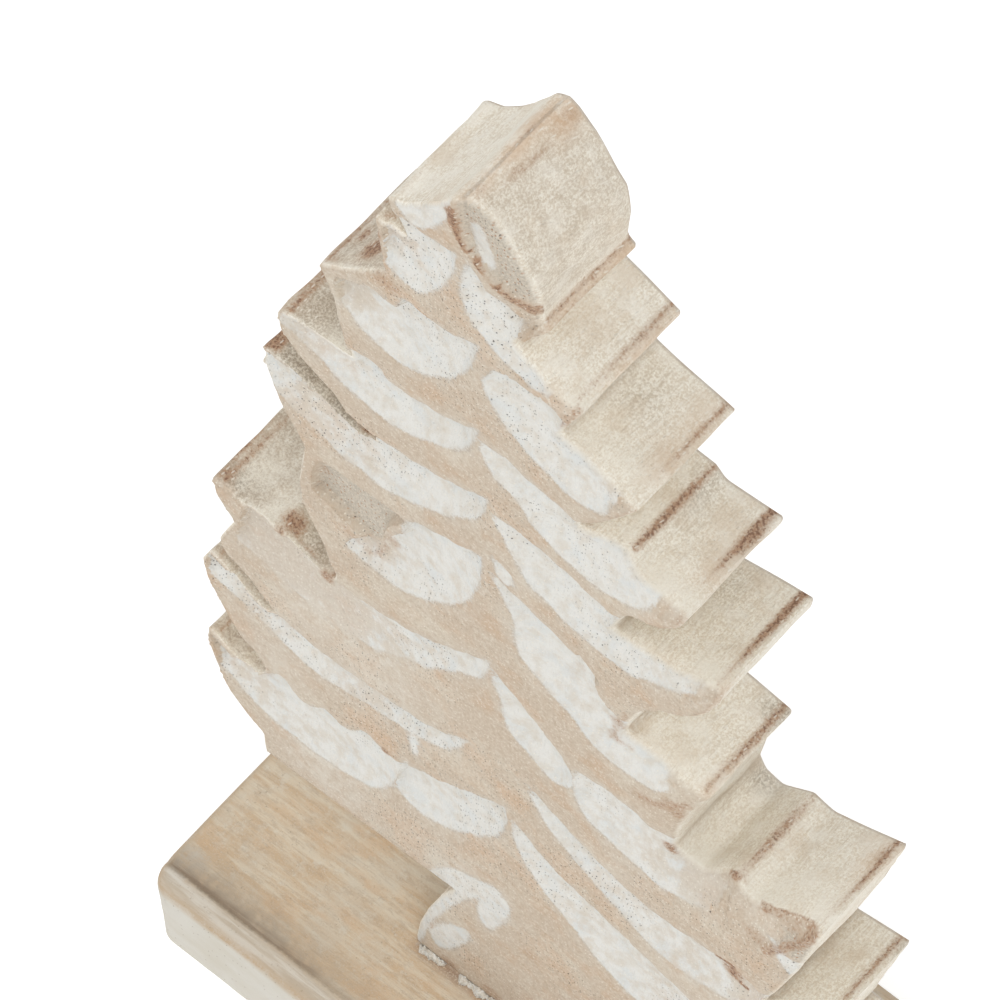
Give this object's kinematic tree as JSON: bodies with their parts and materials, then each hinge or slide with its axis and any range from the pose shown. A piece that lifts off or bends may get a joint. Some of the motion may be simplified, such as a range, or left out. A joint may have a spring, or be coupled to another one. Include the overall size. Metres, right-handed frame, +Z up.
{
  "type": "carved wooden tree ornament",
  "caption": "Whitewashed wooden fir tree: a saw-cut board with carved, upturned boughs and a flared trunk, screwed upright onto a rounded rectangular base plate.",
  "frame": {"origin": "middle of the underside of the base plate, which is the bottom centre of the whole object", "axes": "+X along the board's width to the right seen from the carved front, +Y through the board's thickness away from the carved front, +Z up along the trunk"},
  "size_m": [0.17, 0.08, 0.35],
  "materials": {
    "carved_board": "sanded tan wood with white paint left in the carved strokes",
    "base_wood": "whitewashed warm brown wood, matt, rubbed at the edges",
    "screw_steel": "zinc plated steel",
    "white_filler": "dried white wood filler, matt, cracked"
  },
  "bodies": {
    "root": {"tree_board": "carved_board", "base_plate": "base_wood", "fixing_screws": "screw_steel", "filler_bead": "white_filler"}
  },
  "joints": []
}
